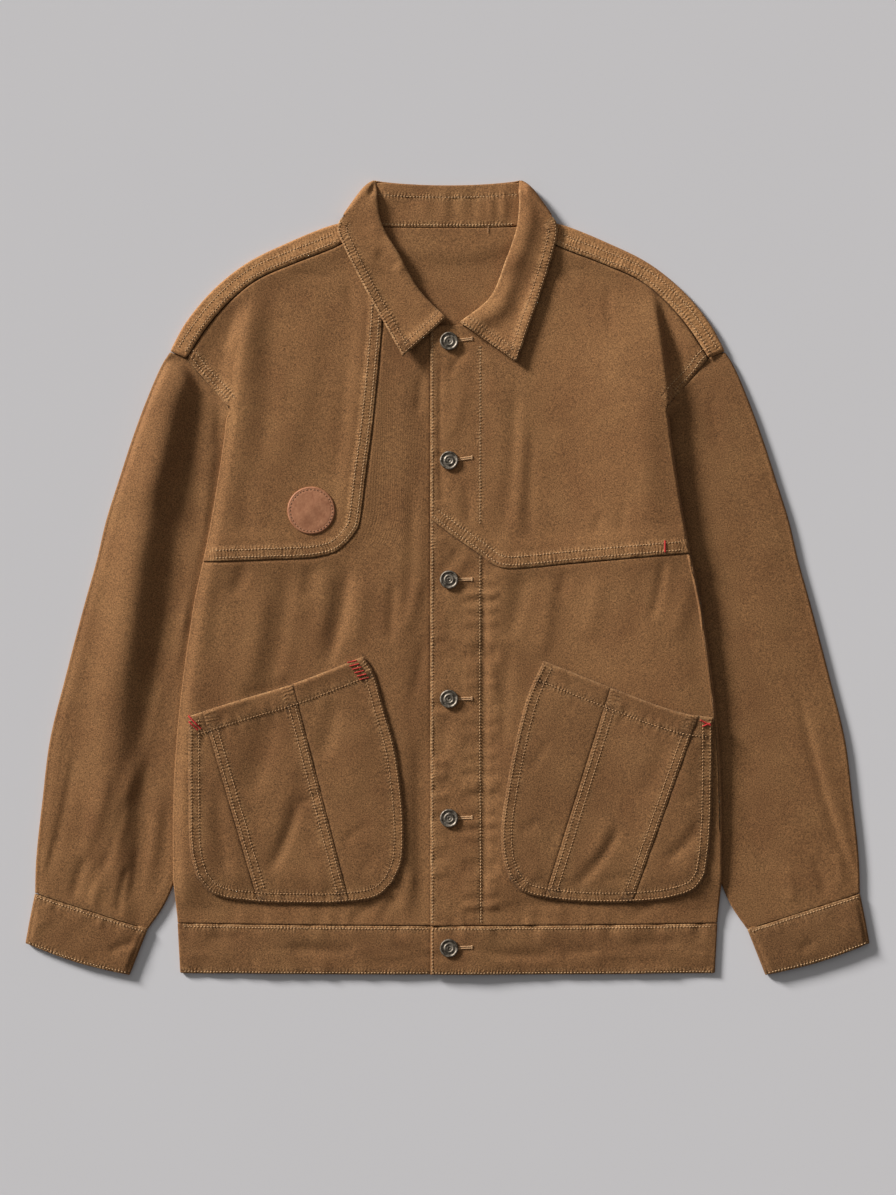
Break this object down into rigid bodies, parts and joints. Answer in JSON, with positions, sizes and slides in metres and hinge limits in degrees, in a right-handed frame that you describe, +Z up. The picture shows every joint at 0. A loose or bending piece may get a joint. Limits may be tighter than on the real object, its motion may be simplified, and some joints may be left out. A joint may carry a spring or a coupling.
{
  "type": "chore jacket",
  "caption": "Collared button-front work jacket with long sleeves, patch pockets, a lapped chest panel and yoke, buttoned up and laid flat on its back.",
  "frame": {"origin": "on the table under the middle of the laid jacket", "axes": "+X to the wearer's left, +Y from the hem to the collar, +Z up from the table, out of the jacket's front"},
  "size_m": [0.794, 0.7459, 0.0091],
  "materials": {
    "cloth": "garment-washed brown cotton twill, matt",
    "thread": "tan topstitching thread",
    "bartack_thread": "red bartack thread",
    "button_metal": "aged dark nickel",
    "badge_leather": "plain terracotta leather, matt"
  },
  "bodies": {
    "root": {"back": "cloth", "front_right": "cloth", "chest_panel_right": "cloth", "yoke_left": "cloth", "front_left": "cloth", "sleeve_right": "cloth", "sleeve_left": "cloth", "cuff_right": "cloth", "cuff_left": "cloth", "hem_band": "cloth", "collar_fall": "cloth", "collar_stand": "cloth", "pocket_right_outer": "cloth", "pocket_right_middle": "cloth", "pocket_right_inner": "cloth", "pocket_left_outer": "cloth", "pocket_left_middle": "cloth", "pocket_left_inner": "cloth", "button_1": "button_metal", "button_2": "button_metal", "button_3": "button_metal", "button_4": "button_metal", "button_5": "button_metal", "button_6": "button_metal", "badge": "badge_leather"}
  },
  "joints": []
}
